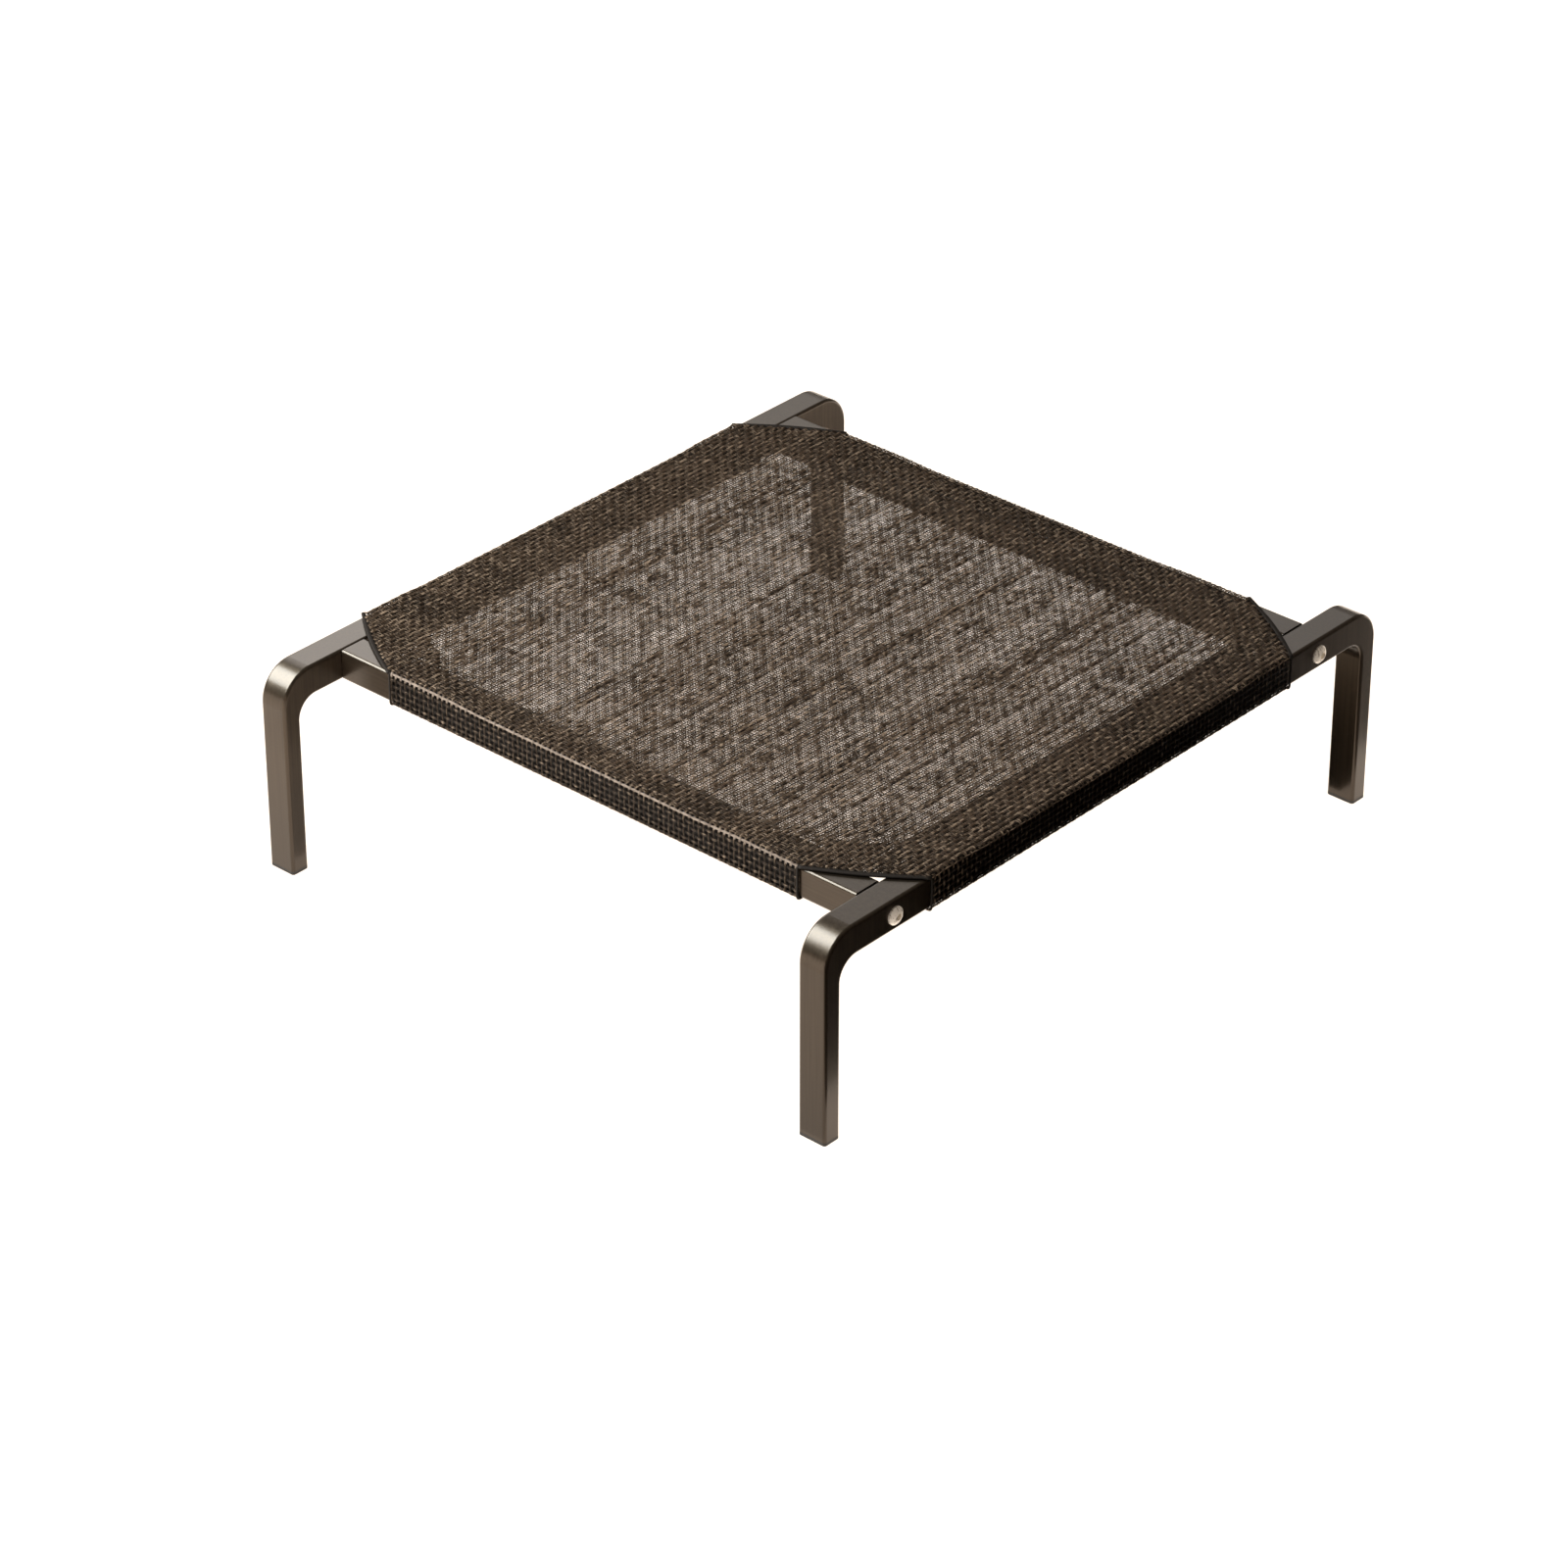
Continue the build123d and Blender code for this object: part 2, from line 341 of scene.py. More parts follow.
def build_panel(material):
    """The lying surface between the pockets."""
    bundle = Bundle()
    stop_x = panel_high.x - INSET - POCKET_START
    stop_y = panel_high.y - INSET - POCKET_START
    for index in places(WARP_PITCH, -stop_x, stop_x):
        at = middle(WARP_PITCH, index)
        end = min(
            corner_limit(at, CUT_START, CUT_END),
            stop_y if abs(at) < FRONT_RUN else 1,
        )
        warp_yarn(bundle, index, -end, end, flat_shape)
    for index in places(WEFT_PITCH, -CUT_START[1], CUT_START[1]):
        at = middle(WEFT_PITCH, index)
        if abs(at) > stop_y:
            continue
        end = min(
            corner_limit(at, CUT_END[::-1], CUT_START[::-1]),
            stop_x if abs(at) < SIDE_RUN else 1,
        )
        weft_yarn(bundle, index, -end, end, flat_shape)
    return bundle.build("sling_panel", material)


class Section:
    """A pocket's section: the cloth leaves the panel, goes round the rail and back up to its seam."""

    def __init__(self, rail_face, seam):
        outer = rail_face + OUTER
        back = rail_face - RAIL - 0.8 * MM
        under = CLOTH_Z - 2 * LAYER
        self.start = outer - POCKET_START
        corners = np.array(
            [
                (self.start - LEAD_IN, CLOTH_Z),
                (outer, CLOTH_Z),
                (outer, POCKET_Z),
                (back, POCKET_Z),
                (seam + SEAM_ALLOWANCE, under - SAG * 0.5),
                (seam - LEAD_IN, under - SAG * 0.5),
            ]
        )
        lengths = np.concatenate([[0], np.cumsum(np.linalg.norm(np.diff(corners, axis=0), axis=1))])
        run = np.arange(0, lengths[-1], SECTION_STEP)
        line = np.stack([np.interp(run, lengths, corners[:, k]) for k in range(2)], axis=1)
        window = np.arange(-4 * FOLD_SOFTNESS, 4 * FOLD_SOFTNESS + SECTION_STEP / 2, SECTION_STEP)
        weight = np.exp(-0.5 * (window / FOLD_SOFTNESS) ** 2)
        weight /= weight.sum()
        margin = len(window) // 2
        line = np.stack([np.convolve(line[:, k], weight, "valid") for k in range(2)], axis=1)
        run = run[margin : margin + len(line)] - LEAD_IN
        last = run[np.argmin(np.abs(run - (lengths[-1] - 2 * LEAD_IN)))]
        keep = (run >= -SECTION_STEP) & (run <= last)
        self.run, self.line = run[keep], line[keep]
        self.length = self.run[-1]

    def at(self, run):
        """Out, up and the cloth's outward direction at a distance along the cloth."""
        out = np.interp(run, self.run, self.line[:, 0])
        height = np.interp(run, self.run, self.line[:, 1])
        ahead = np.gradient(self.line, self.run, axis=0)
        go = np.stack([np.interp(run, self.run, ahead[:, k]) for k in range(2)], axis=-1)
        go /= np.linalg.norm(go, axis=-1)[..., None]
        return out, height, -go[..., 1], go[..., 0]


side_section = Section(side_high.x, right_low.x + INSET)
cross_section = Section(-rail_low.y, -front_high.y + INSET)


def pocket_shape(section, sign, across):
    """The shape function of a pocket. across is True for the side pockets, whose cloth folds over along X."""

    def shape(x, y, height):
        x, y, height = np.broadcast_arrays(x, y, height)
        folded, along = (x, y) if across else (y, x)
        run = sign * folded - section.start
        out, up, out_way, up_way = section.at(run)
        near = (sign * np.minimum(sign * folded, section.start), along)
        raised = lift(*near) if across else lift(*near[::-1])
        up = up + raised * (1 - smooth(0, LIFT_FADE, run))
        out = sign * (out + out_way * height)
        up = up + up_way * height
        normal = [sign * out_way, np.zeros_like(out), up_way]
        if across:
            return np.stack([out, along, up], axis=1), np.stack(normal, axis=1)
        return np.stack([along, out, up], axis=1), np.stack([normal[1], normal[0], normal[2]], axis=1)

    return shape


def build_pocket(name, section, sign, across, material):
    """The cloth round one rail."""
    bundle = Bundle()
    half_run = SIDE_RUN if across else FRONT_RUN
    shape = pocket_shape(section, sign, across)
    low, high = sorted((sign * section.start, sign * (section.start + section.length)))

    def drawn(x, y):
        folded = sign * (x if across else y) - section.start
        return smooth(*DRAW_IN, folded) * (1 - smooth(*DRAW_OUT, folded))

    beside, round_it = (warp_yarn, weft_yarn) if across else (weft_yarn, warp_yarn)
    beside_pitch, round_pitch = (WARP_PITCH, WEFT_PITCH) if across else (WEFT_PITCH, WARP_PITCH)
    for index in places(beside_pitch, low, high):
        beside(bundle, index, -half_run, half_run, shape, drawn=drawn)
    for index in places(round_pitch, -half_run, half_run):
        round_it(bundle, index, low, high, shape, finer=4, drawn=drawn)
    return bundle.build(name, material)


def hem_outline(sx, sy):
    """The hem at one corner, seen from above once folded under, and the place and way of its fold."""
    inward = np.array([CUT_WAY[1], -CUT_WAY[0]]) * HEM
    start = np.array(CUT_START)
    end = np.array(CUT_END)
    side_stop = side_section.start + POCKET_START - RAIL - 22 * MM
    cross_stop = cross_section.start + POCKET_START - RAIL - 8 * MM
    slope = CUT_WAY[1] / CUT_WAY[0]

    def inner_y(x):
        return (end + inward)[1] + slope * (x - (end + inward)[0])

    def inner_x(y):
        return (end + inward)[0] + (y - (end + inward)[1]) / slope

    points = [
        start,
        end,
        (side_stop, end[1]),
        (side_stop, inner_y(side_stop)),
        (inner_x(cross_stop), cross_stop),
        (start[0], cross_stop),
    ]
    signs = np.array([sx, sy])
    return np.array(points) * signs, signs * start, signs * CUT_WAY


def mirror(points, origin, direction):
    """Points turned over a line in the plane, as cloth folded along it."""
    offset = points - origin
    along = (offset @ direction)[:, None] * direction
    return origin + 2 * along - offset


def spans(outline, axis, value):
    """Where the line at value on one axis runs inside an outline."""
    ends = []
    for a, b in zip(outline, np.roll(outline, -1, axis=0)):
        if (a[axis] - value) * (b[axis] - value) < 0:
            share = (value - a[axis]) / (b[axis] - a[axis])
            ends.append(a[1 - axis] + share * (b[1 - axis] - a[1 - axis]))
    ends.sort()
    return [(a, b) for a, b in zip(ends[::2], ends[1::2]) if b - a > 1.5 * MM]


def build_hem(name, sx, sy, material):
    """The cloth beyond a cut corner, folded under along it."""
    bundle = Bundle()
    outline, origin, direction = hem_outline(sx, sy)
    flat = mirror(outline, origin, direction)

    def shape(x, y, height):
        x, y, height = np.broadcast_arrays(x, y, height)
        turned = mirror(np.stack([x, y], axis=1), origin, direction)
        z = panel_height(*turned.T) - 2 * LAYER - height
        points = np.column_stack([turned, z])
        return points, np.broadcast_to([0.0, 0.0, -1.0], points.shape)

    for index in places(WARP_PITCH, *np.sort(flat[:, 0])[[0, -1]]):
        for low, high in spans(flat, 0, middle(WARP_PITCH, index)):
            warp_yarn(bundle, index, low, high, shape)
    for index in places(WEFT_PITCH, *np.sort(flat[:, 1])[[0, -1]]):
        for low, high in spans(flat, 1, middle(WEFT_PITCH, index)):
            weft_yarn(bundle, index, low, high, shape)
    return bundle.build(name, material)


# ---------------------------------------------------------------- edges and stitches


def build_corner_edge(name, sx, sy, material):
    """The rolled edge along one cut corner, bulged and near-black: partly painted shade of the gap beside it.
    """
    bundle = Bundle()
    share = np.linspace(0, 1, 40)
    x = sx * (CUT_START[0] + share * (CUT_END[0] - CUT_START[0]))
    y = sy * (CUT_START[1] + share * (CUT_END[1] - CUT_START[1]))
    bulge = EDGE_BULGE * np.sin(math.pi * share)
    z = np.full(len(share), CLOTH_Z + HEM_LIFT * 0.5 - 0.2 * MM)
    centre = np.column_stack([x + sx * EDGE_WAY[0] * bulge, y + sy * EDGE_WAY[1] * bulge, z])
    up = np.broadcast_to([0.0, 0.0, 1.0], centre.shape)
    size = 1 + 0.3 * np.sin(math.pi * share)
    bundle.tube(centre, sideways(centre, up), up, size * EDGE_WIDTH / 2, size * EDGE_THICK / 2, corners=12)
    return bundle.build(name, material)


def build_mouth_edge(name, section, sign, across, end, material):
    """The rolled edge round one mouth of a pocket, near-black: partly painted shade of the open mouth."""
    bundle = Bundle()
    half_run = (SIDE_RUN if across else FRONT_RUN) - MOUTH_WIDTH / 2
    shape = pocket_shape(section, sign, across)
    folded = sign * (section.start + np.arange(POCKET_START - 1.5 * MM, section.length, MOUTH_STEP))
    along = np.full(len(folded), end * half_run)
    height = np.full(len(folded), MOUTH_THICK / 2 - WEFT_CRIMP)
    centre, up = shape(folded, along, height) if across else shape(along, folded, height)
    size = np.minimum(1, 0.3 + 0.2 * np.arange(len(folded)))
    bundle.tube(centre, sideways(centre, up), up, size * MOUTH_WIDTH / 2, size * MOUTH_THICK / 2, corners=12)
    return bundle.build(name, material)


def stitch_row(bundle, start, end, height):
    """A row of stitches between two points of the panel."""
    start, end = np.array(start), np.array(end)
    length = np.linalg.norm(end - start)
    ahead = (end - start) / length
    across = np.array([-ahead[1], ahead[0], 0.0])
    for k in range(int(length / STITCH_PITCH)):
        at = start + ahead * (k + 0.5) * STITCH_PITCH
        share = np.array([-1.0, -0.8, -0.3, 0.3, 0.8, 1.0])
        points = at[None, :] + ahead[None, :] * share[:, None] * STITCH / 2
        points = np.column_stack([points, height + STITCH_RADIUS * (0.3 - share**2)])
        size = STITCH_RADIUS * np.array([0.35, 0.8, 1, 1, 0.8, 0.35])
        bundle.tube(points, across, (0.0, 0.0, 1.0), size, size, corners=6)


# ---------------------------------------------------------------- materials
PAINT_DARK = (0.052, 0.036, 0.022)
PAINT_LIGHT = (0.078, 0.055, 0.034)
PAINT_CLOUD = (0.048, 0.034, 0.022)
PAINT_FLOOR_SHADE = (0.030, 0.021, 0.013)  # painted shade, darker towards the floor
# painted shade: the frame's colour where the cloth covers it
SHADE_UNDER_CLOTH = (0.008, 0.006, 0.005)
YARN_DARK = (0.058, 0.039, 0.025)
YARN_LIGHT = (0.120, 0.082, 0.054)
YARN_SLUB = (0.46, 0.35, 0.25)
# the deepest yarn colour: random tone, and painted shade in the yarn's shade masks
YARN_DEEP_TONE_AND_SHADE = (0.010, 0.007, 0.0045)
# painted highlight along the front fold
YARN_FOLD_HIGHLIGHT = (0.36, 0.30, 0.25)
CROWN_SHADE_SPAN = (0.15 * MM, 0.55 * MM)  # painted shade: how far outside the CAD sling a yarn is still fully shaded, and where its crown is


def new_material(name):
    """A node material: returns it, its tree and its Principled shader."""
    material = bpy.data.materials.new(name)
    material.use_nodes = True
    tree = material.node_tree
    return material, tree, tree.nodes["Principled BSDF"]


def node(tree, kind, **settings):
    """A new node. A setting is one of its inputs, or else a property of its own."""
    made = tree.nodes.new(kind)
    for key, value in settings.items():
        if key in made.inputs:
            made.inputs[key].default_value = value
        else:
            setattr(made, key, value)
    return made


def stretched(tree, coordinate, scale):
    """A coordinate with its three directions scaled."""
    mapping = node(tree, "ShaderNodeMapping")
    mapping.inputs["Scale"].default_value = scale
    tree.links.new(coordinate, mapping.inputs["Vector"])
    return mapping.outputs["Vector"]


def noise(tree, coordinate, scale, detail=3.0, roughness=0.55):
    made = node(tree, "ShaderNodeTexNoise")
    made.inputs["Scale"].default_value = scale
    made.inputs["Detail"].default_value = detail
    made.inputs["Roughness"].default_value = roughness
    tree.links.new(coordinate, made.inputs["Vector"])
    return made.outputs["Fac"]


def spread(tree, value, low, high, new_low, new_high):
    """A value carried over from one range to another, and held at its ends."""
    made = node(tree, "ShaderNodeMapRange")
    tree.links.new(value, made.inputs["Value"])
    for key, number in (("From Min", low), ("From Max", high), ("To Min", new_low), ("To Max", new_high)):
        made.inputs[key].default_value = number
    return made.outputs["Result"]


def mixed(tree, share, first, second):
    """A colour between two, each a colour or a socket."""
    made = node(tree, "ShaderNodeMix", data_type="RGBA")
    for socket, value in ((made.inputs[0], share), (made.inputs[6], first), (made.inputs[7], second)):
        if isinstance(value, bpy.types.NodeSocket):
            tree.links.new(value, socket)
        elif isinstance(value, (int, float)):
            socket.default_value = value
        else:
            socket.default_value = (*value, 1.0)
    return made.outputs[2]


def bumped(tree, shader, height, distance, strength=1.0):
    made = node(tree, "ShaderNodeBump")
    made.inputs["Distance"].default_value = distance
    made.inputs["Strength"].default_value = strength
    tree.links.new(height, made.inputs["Height"])
    tree.links.new(made.outputs["Normal"], shader.inputs["Normal"])


def calculated(tree, operation, value, other=0.0):
    """A sum, product or comparison of a socket with another socket or a number."""
    made = node(tree, "ShaderNodeMath", operation=operation)
    tree.links.new(value, made.inputs[0])
    if isinstance(other, bpy.types.NodeSocket):
        tree.links.new(other, made.inputs[1])
    else:
        made.inputs[1].default_value = other
    return made.outputs[0]


def product(tree, first, *others):
    for other in others:
        first = calculated(tree, "MULTIPLY", first, other)
    return first


def position(tree):
    return node(tree, "ShaderNodeTexCoord").outputs["Object"]


def separated(tree, vector):
    """A node whose outputs are the parts of a vector."""
    made = node(tree, "ShaderNodeSeparateXYZ")
    tree.links.new(vector, made.inputs[0])
    return made


def past(tree, coordinate, edge):
    """How far a coordinate lies outside an edge, either way from the middle."""
    return calculated(tree, "SUBTRACT", calculated(tree, "ABSOLUTE", coordinate), edge)


def frame_material(name, drawn, axis, covered):
    """Satin bronze-grey paint, with faint streaks along the tube. drawn is the scale in each direction.

    Where the cloth covers the tube, as far as covered either way on an axis, its colour is darkened
    as painted shade under the cloth.
    """
    material, tree, shader = new_material(name)
    at = position(tree)
    streaks = noise(tree, stretched(tree, at, drawn), 1.0, 4.0, 0.6)
    cloudy = noise(tree, at, 9.0, 3.0)
    speckle = noise(tree, at, 1400.0, 2.0)
    base = mixed(tree, spread(tree, streaks, 0.3, 0.7, 0.0, 1.0), PAINT_DARK, PAINT_LIGHT)
    base = mixed(tree, spread(tree, cloudy, 0.35, 0.7, 0.0, 0.35), base, PAINT_CLOUD)
    parts = separated(tree, at)
    # painted shade: darker over the lowest 0.1 m, towards the floor
    base = mixed(tree, spread(tree, parts.outputs["Z"], 0.0, 0.1, 0.6, 0.0), base, PAINT_FLOOR_SHADE)
    reach = calculated(tree, "ABSOLUTE", parts.outputs[axis])
    # painted shade under the cloth
    shaded_under_cloth = spread(tree, reach, covered - 4 * MM, covered - 2 * MM, 1.0, 0.0)
    base = mixed(tree, shaded_under_cloth, base, SHADE_UNDER_CLOTH)
    tree.links.new(base, shader.inputs["Base Color"])
    shader.inputs["Metallic"].default_value = 0.85
    shader.inputs["Specular IOR Level"].default_value = 0.5
    shader.inputs["Coat Weight"].default_value = 0.55
    shader.inputs["Coat Roughness"].default_value = 0.2
    rough = spread(tree, streaks, 0.3, 0.7, 0.30, 0.38)
    tree.links.new(rough, shader.inputs["Roughness"])
    bumped(tree, shader, speckle, 0.00006, 0.5)
    return material


def bolt_material():
    """Bright nickel plate, a little scratched."""
    material, tree, shader = new_material("bolt_nickel")
    at = position(tree)
    scratches = noise(tree, stretched(tree, at, (400, 700, 330)), 1.0, 3.0)
    base = mixed(tree, spread(tree, scratches, 0.52, 0.66, 0.0, 1.0), (1.0, 0.95, 0.86), (0.42, 0.37, 0.32))
    tree.links.new(base, shader.inputs["Base Color"])
    shader.inputs["Metallic"].default_value = 0.35
    tree.links.new(spread(tree, scratches, 0.3, 0.7, 0.32, 0.5), shader.inputs["Roughness"])
    bumped(tree, shader, scratches, 0.00004, 0.5)
    return material


def insert_material():
    """Zinc plate with its crystal pattern."""
    material, tree, shader = new_material("insert_zinc")
    at = position(tree)
    cells = node(tree, "ShaderNodeTexVoronoi")
    cells.inputs["Scale"].default_value = 420.0
    tree.links.new(at, cells.inputs["Vector"])
    shade = spread(tree, cells.outputs["Distance"], 0.0, 0.8, 0.0, 1.0)
    base = mixed(tree, shade, (0.46, 0.47, 0.49), (0.60, 0.61, 0.62))
    tree.links.new(base, shader.inputs["Base Color"])
    shader.inputs["Metallic"].default_value = 0.9
    tree.links.new(spread(tree, shade, 0.0, 1.0, 0.38, 0.52), shader.inputs["Roughness"])
    bumped(tree, shader, noise(tree, at, 900.0), 0.00004, 0.5)
    return material


def plastic_material():
    """Matt black moulded plastic, scuffed towards the floor."""
    material, tree, shader = new_material("plug_plastic")
    at = position(tree)
    grain = noise(tree, at, 1800.0, 2.0)
    scuffs = noise(tree, stretched(tree, at, (300, 300, 900)), 1.0, 4.0)
    scuffed = spread(tree, scuffs, 0.5, 0.75, 0.0, 0.6)
    base = mixed(tree, scuffed, (0.012, 0.011, 0.010), (0.045, 0.042, 0.038))
    tree.links.new(base, shader.inputs["Base Color"])
    tree.links.new(spread(tree, scuffs, 0.3, 0.7, 0.45, 0.62), shader.inputs["Roughness"])
    bumped(tree, shader, grain, 0.0001, 0.6)
    return material


def yarn_material(name, weft_painted_shade):
    """Coated polyester yarn: brown, unevenly dyed, with lighter slubs and the ridges of its fibres.

    On the rails' sides it gets painted shade but for its crowns, and a painted highlight where it bends
    over the front one. Each warp yarn's last strand is darkened as painted shade between the ribs. The
    second argument is how much darker the yarns along X are, as painted shade between the warps.
    """
    material, tree, shader = new_material(name)
    flat = node(tree, "ShaderNodeUVMap", uv_map="Yarn").outputs["UV"]
    parts = separated(tree, flat)
    number = calculated(tree, "FLOOR", parts.outputs["Y"])  # the strand's tag
    is_weft = calculated(tree, "GREATER_THAN", number, WEFT_TAG - 0.5)
    is_warp = calculated(tree, "LESS_THAN", number, WEFT_TAG - 0.5)
    three = calculated(tree, "FLOOR", calculated(tree, "DIVIDE", number, WARP_STRANDS))
    which = calculated(tree, "MODULO", number, WARP_STRANDS)
    is_last = calculated(tree, "GREATER_THAN", which, WARP_STRANDS - 1.5)
    own = node(tree, "ShaderNodeCombineXYZ")  # the strands of a warp yarn share their slubs
    tree.links.new(parts.outputs["X"], own.inputs["X"])
    tree.links.new(three, own.inputs["Y"])
    each = node(tree, "ShaderNodeTexWhiteNoise", noise_dimensions="1D")
    tree.links.new(number, each.inputs["W"])
    dye = noise(tree, position(tree), 22.0, 3.0)
    slubs = noise(tree, stretched(tree, own.outputs["Vector"], (165, 7.31, 1)), 1.0, 1.5, 0.6)
    strand_shade_breaks = noise(tree, stretched(tree, own.outputs["Vector"], (120, 3.77, 1)), 1.0, 2.0, 0.6)
    base = mixed(tree, spread(tree, dye, 0.35, 0.65, 0.0, 1.0), YARN_DARK, YARN_LIGHT)
    base = mixed(tree, spread(tree, slubs, 0.5, 0.66, 0.0, 0.9), base, YARN_SLUB)
    base = mixed(tree, spread(tree, each.outputs["Value"], 0.0, 1.0, 0.0, 0.3), base, YARN_DEEP_TONE_AND_SHADE)
    # painted shade: each warp yarn's last, recessed strand is darkened as the shade between the ribs
    strand_shade = product(tree, is_last, is_warp, spread(tree, strand_shade_breaks, 0.36, 0.56, 0.55, 1.0))
    base = mixed(tree, strand_shade, base, YARN_DEEP_TONE_AND_SHADE)
    # painted shade: the wefts darkened where they lie between the warps
    base = mixed(tree, spread(tree, is_weft, 0.0, 1.0, 0.0, weft_painted_shade), base, YARN_DEEP_TONE_AND_SHADE)
    place = separated(tree, position(tree))
    # painted shade on the rails' sides, between the yarns' crowns
    low_side = spread(tree, place.outputs["Z"], RAIL_BOTTOM, RAIL_BOTTOM + 1 * MM, 0.0, 1.0)
    high_side = spread(tree, place.outputs["Z"], RAIL_TOP - 3 * MM, RAIL_TOP - 1 * MM, 1.0, 0.0)
    out_x = past(tree, place.outputs["X"], panel_high.x)
    out_y = past(tree, place.outputs["Y"], panel_high.y)
    shade_off_crowns = spread(tree, calculated(tree, "MAXIMUM", out_x, out_y), *CROWN_SHADE_SPAN, 0.97, 0.05)
    base = mixed(tree, product(tree, low_side, high_side, shade_off_crowns), base, YARN_DEEP_TONE_AND_SHADE)
    # painted highlight along the front fold, broken up by the slubs
    outward = spread(tree, place.outputs["Y"], -panel_high.y + 0.6 * MM, -panel_high.y + 1.8 * MM, 1.0, 0.0)
    upward = spread(tree, place.outputs["Z"], RAIL_TOP - 1.6 * MM, RAIL_TOP - 0.6 * MM, 0.0, 1.0)
    fold_highlight = product(tree, outward, upward, spread(tree, slubs, 0.35, 0.55, 0.5, 1.0))
    base = mixed(tree, fold_highlight, base, YARN_FOLD_HIGHLIGHT)
    tree.links.new(base, shader.inputs["Base Color"])
    fibres = noise(tree, stretched(tree, flat, (700, 9, 1)), 1.0, 3.0, 0.6)
    tree.links.new(spread(tree, fibres, 0.3, 0.7, 0.42, 0.56), shader.inputs["Roughness"])
    shader.inputs["Specular IOR Level"].default_value = 0.14
    bumped(tree, shader, fibres, 0.00012, 0.6)
    return material


def thread_material(name, colour, lighter):
    """Twisted thread."""
    material, tree, shader = new_material(name)
    at = position(tree)
    twist = noise(tree, at, 900.0, 2.0)
    base = mixed(tree, spread(tree, twist, 0.35, 0.65, 0.0, 1.0), colour, lighter)
    tree.links.new(base, shader.inputs["Base Color"])
    tree.links.new(spread(tree, twist, 0.3, 0.7, 0.6, 0.8), shader.inputs["Roughness"])
    shader.inputs["Specular IOR Level"].default_value = 0.3
    bumped(tree, shader, twist, 0.0002, 0.7)
    return material


def floor_material():
    """Plain pale floor, faintly mottled."""
    material, tree, shader = new_material("floor_pale")
    mottle = noise(tree, position(tree), 3.0)
    base = mixed(tree, mottle, (0.80, 0.80, 0.795), (0.83, 0.83, 0.825))
    tree.links.new(base, shader.inputs["Base Color"])
    tree.links.new(spread(tree, mottle, 0.3, 0.7, 0.85, 0.95), shader.inputs["Roughness"])
    shader.inputs["Specular IOR Level"].default_value = 0.1
    return material


PAINTS = {
    "side_frame": frame_material("frame_paint_legs", (500, 500, 9), "Y", SIDE_RUN),
    "cross_rail": frame_material("frame_paint_rails", (9, 500, 500), "X", FRONT_RUN),
    "corner_bolt": bolt_material(),
    "rail_insert": insert_material(),
    "foot_plug": plastic_material(),
}
# the panel's wefts get more painted shade than those of the hems and pockets
yarn = yarn_material("sling_yarn", 0.55)
folded_yarn = yarn_material("sling_yarn_folded", 0.2)
# near-black edging: partly the rolled edges' own colour, partly painted shade of the gaps and mouths
edging = thread_material("sling_edging", (0.007, 0.0055, 0.004), (0.020, 0.0155, 0.012))
thread = thread_material("sling_thread", (0.020, 0.015, 0.011), (0.045, 0.036, 0.028))


def dress(name, material):
    """Gives a CAD node a new material."""
    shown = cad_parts[name]
    shown.data.materials.clear()
    shown.data.materials.append(material)


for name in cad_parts:
    for kind, material in PAINTS.items():
        if name.startswith(kind):
            dress(name, material)

# ---------------------------------------------------------------- the sling's pieces

panel = build_panel(yarn)
hems = [build_hem(f"sling_hem_{corner}", sx, sy, folded_yarn) for corner, sx, sy in CORNERS]
corner_edges = [build_corner_edge(f"sling_edge_{corner}", sx, sy, edging) for corner, sx, sy in CORNERS]
pockets = {}
mouths = {}
for side, sign, across in (("left", -1, True), ("right", 1, True), ("front", -1, False), ("rear", 1, False)):
    section = side_section if across else cross_section
    pockets[side] = build_pocket(f"sling_pocket_{side}", section, sign, across, folded_yarn)
    mouths[side] = [
        build_mouth_edge(f"sling_mouth_{side}_{word}", section, sign, across, end, edging)
        for end, word in ((-1, "a"), (1, "b"))
    ]

stitches = Bundle()
seam_x = side_section.line[-1, 0] + SEAM_ALLOWANCE / 2
seam_y = cross_section.line[-1, 0] + SEAM_ALLOWANCE / 2
stitch_z = CLOTH_Z + LAYER - SAG * 0.3
for sign in (-1, 1):
    stitch_row(stitches, (sign * seam_x, -SIDE_RUN), (sign * seam_x, SIDE_RUN), stitch_z)
    stitch_row(stitches, (-FRONT_RUN, sign * seam_y), (FRONT_RUN, sign * seam_y), stitch_z)
seams = stitches.build("sling_stitches", thread)

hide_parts("mesh_panel")
for side, piece in pockets.items():
    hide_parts(f"mesh_pocket_{side}")
sling_pieces = [panel, seams, *hems, *corner_edges, *pockets.values(), *sum(mouths.values(), [])]
for piece in sling_pieces:
    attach(piece, "root")

for side, piece in pockets.items():
    across = side in ("left", "right")
    section = side_section if across else cross_section

# ---------------------------------------------------------------- floor, light and camera


def plane(name, corners, material):
    """A four-cornered stage piece."""
    mesh = bpy.data.meshes.new(name)
    mesh.from_pydata(corners, [], [(0, 1, 2, 3)])
    mesh.materials.append(material)
    made = bpy.data.objects.new(name, mesh)
    bpy.context.scene.collection.objects.link(made)
    return made


def level(low, high, height):
    """The corners of a level rectangle."""
    (x, y), (far_x, far_y) = low, high
    return [(x, y, height), (far_x, y, height), (far_x, far_y, height), (x, far_y, height)]


floor = plane("floor", level((-9, -9), (9, 9), 0), floor_material())


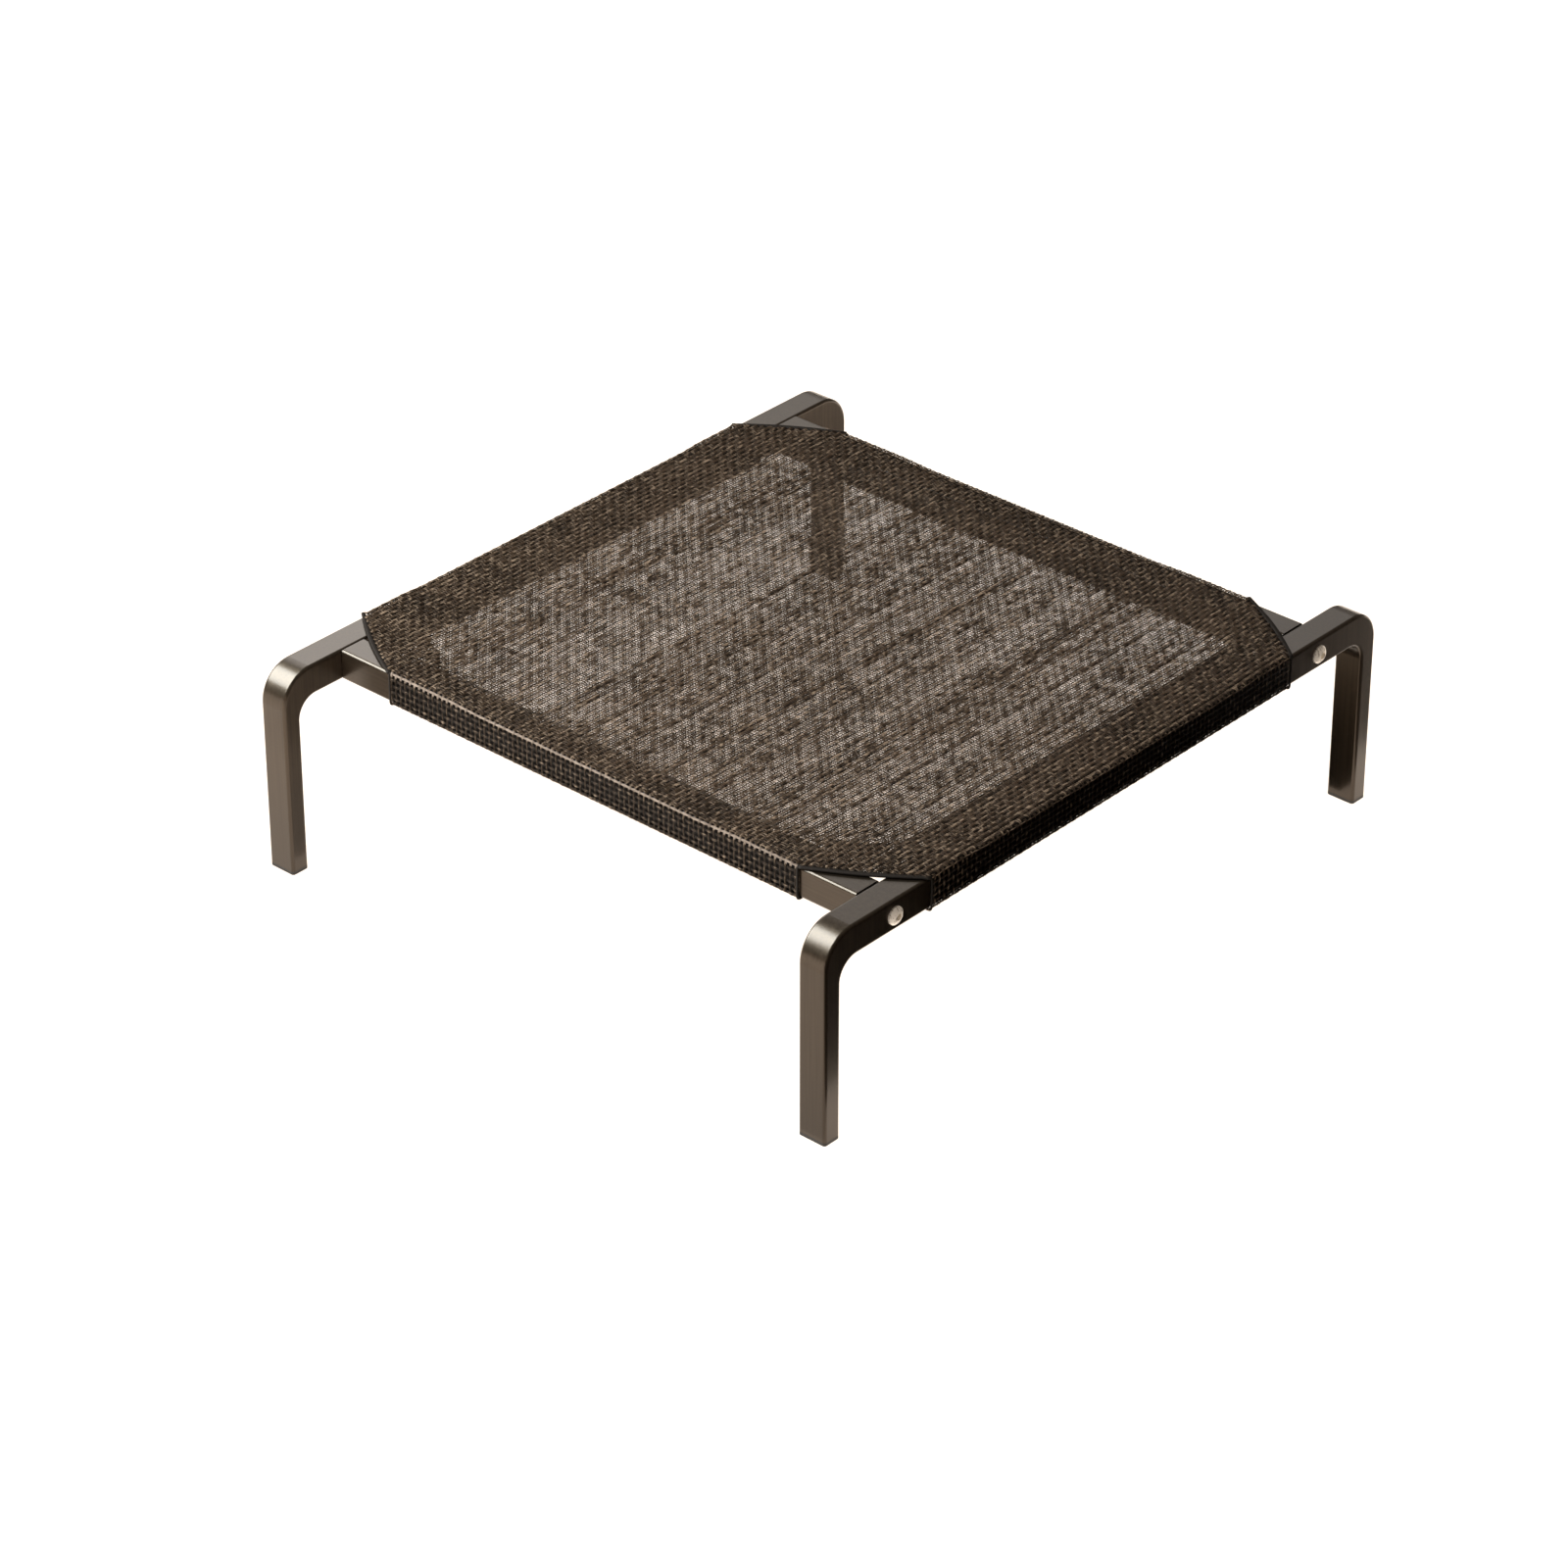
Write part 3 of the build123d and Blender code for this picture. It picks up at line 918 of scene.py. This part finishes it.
def card(name, corners, cover):
    """A black card, seen only in reflections, where it is painted shade. cover is how much it hides."""
    material, tree, shader = new_material(name)
    shader.inputs["Base Color"].default_value = (0.004, 0.004, 0.004, 1)
    shader.inputs["Specular IOR Level"].default_value = 0.0
    shader.inputs["Alpha"].default_value = cover
    made = plane(name, corners, material)
    made.visible_camera = False
    made.visible_shadow = False
    made.visible_diffuse = False
    return made


def floor_card(name, low, high, height, cover):
    return card(name, level(low, high, height), cover)


def right_card(name, x, low, high, top, cover):
    """An upright card to the right of the bed. low and high are its ends along Y."""
    return card(name, [(x, low, 0.0), (x, high, 0.0), (x, high, top), (x, low, top)], cover)


floor_card("left_card", (-0.24, -0.3), (0.05, 0.05), 0.002, 0.55)
floor_card("left_inner_card", (-0.17, -0.18), (0.05, 0.05), 0.003, 0.6)
floor_card("left_outer_card", (-0.43, -0.53), (-0.33, -0.47), 0.002, 0.8)
floor_card("rear_card", (-0.18, 0.4), (0.02, 0.6), 0.002, 0.8)
floor_card("front_card", (-0.05, -0.62), (0.35, -0.32), 0.002, 0.25)
floor_card("under_card", (0.08, 0.09), (0.262, 0.292), 0.002, 1.0)
right_card("right_card", 0.33, -0.7, 0.28, 0.2, 1.0)
right_card("right_rear_card", 0.33, 0.28, 0.42, 0.2, 0.93)
right_card("sleeve_card", 0.31, -0.2, 0.21, 0.172, 1.0).visible_diffuse = True


def light_group(name, pieces, state):
    """For a light's links: the only pieces that it lights, or the only ones that it doesn't."""
    group = bpy.data.collections.new(name)
    for linked, piece in enumerate(pieces):
        group.objects.link(piece)
        group.collection_objects[linked].light_linking.link_state = state
    return group


only_floor = light_group("only_floor", [floor], "INCLUDE")
only_sling = light_group("only_sling", sling_pieces, "INCLUDE")
only_frame = light_group("only_frame", [floor, *sling_pieces], "EXCLUDE")


def light(name, kind, place, target, power, colour, receivers):
    data = bpy.data.lights.new(name, kind)
    data.energy = power
    data.color = colour
    made = bpy.data.objects.new(name, data)
    made.location = place
    made.rotation_mode = "QUATERNION"
    made.rotation_quaternion = (Vector(target) - Vector(place)).to_track_quat("-Z", "Y")
    made.light_linking.receiver_collection = receivers
    bpy.context.scene.collection.objects.link(made)
    return made


def area_light(name, place, target, size, power, colour, receivers):
    made = light(name, "AREA", place, target, power, colour, receivers)
    made.data.shape = "RECTANGLE"
    made.data.size, made.data.size_y = size
    return made


WARM = (1.0, 0.98, 0.95)
area_light("frame_key", (-1.2, -0.95, 1.5), (0, 0, 0.1), (1.4, 1.4), 88, (0.95, 1.06, 1.12), only_frame)
area_light("sling_key", (-0.9, -1.2, 1.1), (0, 0, 0.17), (1.0, 1.0), 58, WARM, only_sling)
area_light("left", (-1.35, 0.6, 1.0), (-0.3, -0.3, 0.17), (0.8, 0.8), 3.5, (1, 1, 1), only_frame)
area_light("rear_left", (-2.2, 2.4, 1.9), (0, 0, 0.17), (2.0, 1.5), 9, (1, 1, 1), only_frame)
floor_even = light("floor_even", "SUN", (0, 0, 5), (0, 0, 0), 5.0, (1.0, 0.87, 0.755), only_floor)
floor_even.light_linking.blocker_collection = only_floor
floor_soft = light("floor_soft", "SUN", (-1.5, -1, 5), (0, 0, 0), 0.8, WARM, only_floor)
floor_soft.data.angle = math.radians(50)

world = bpy.data.worlds.new("studio")
world.use_nodes = True
world.node_tree.nodes["Background"].inputs["Color"].default_value = (1.05, 0.91, 0.78, 1)
world.node_tree.nodes["Background"].inputs["Strength"].default_value = 0.17
bpy.context.scene.world = world

CAMERA_LENS = 123.3  # these three are solved from the photo's right angles
CAMERA_PLACE = (2.309, -2.631, 2.163)
CAMERA_AIM = (-0.5696, 0.6379, -0.5183)
camera_data = bpy.data.cameras.new("camera")
camera_data.lens = CAMERA_LENS
camera_data.sensor_width = 36
camera_data.clip_end = 50
camera = bpy.data.objects.new("camera", camera_data)
camera.location = CAMERA_PLACE
camera.rotation_mode = "QUATERNION"
camera.rotation_quaternion = Vector(CAMERA_AIM).to_track_quat("-Z", "Y")
bpy.context.scene.collection.objects.link(camera)
bpy.context.scene.camera = camera
bpy.context.scene.view_settings.view_transform = "Standard"
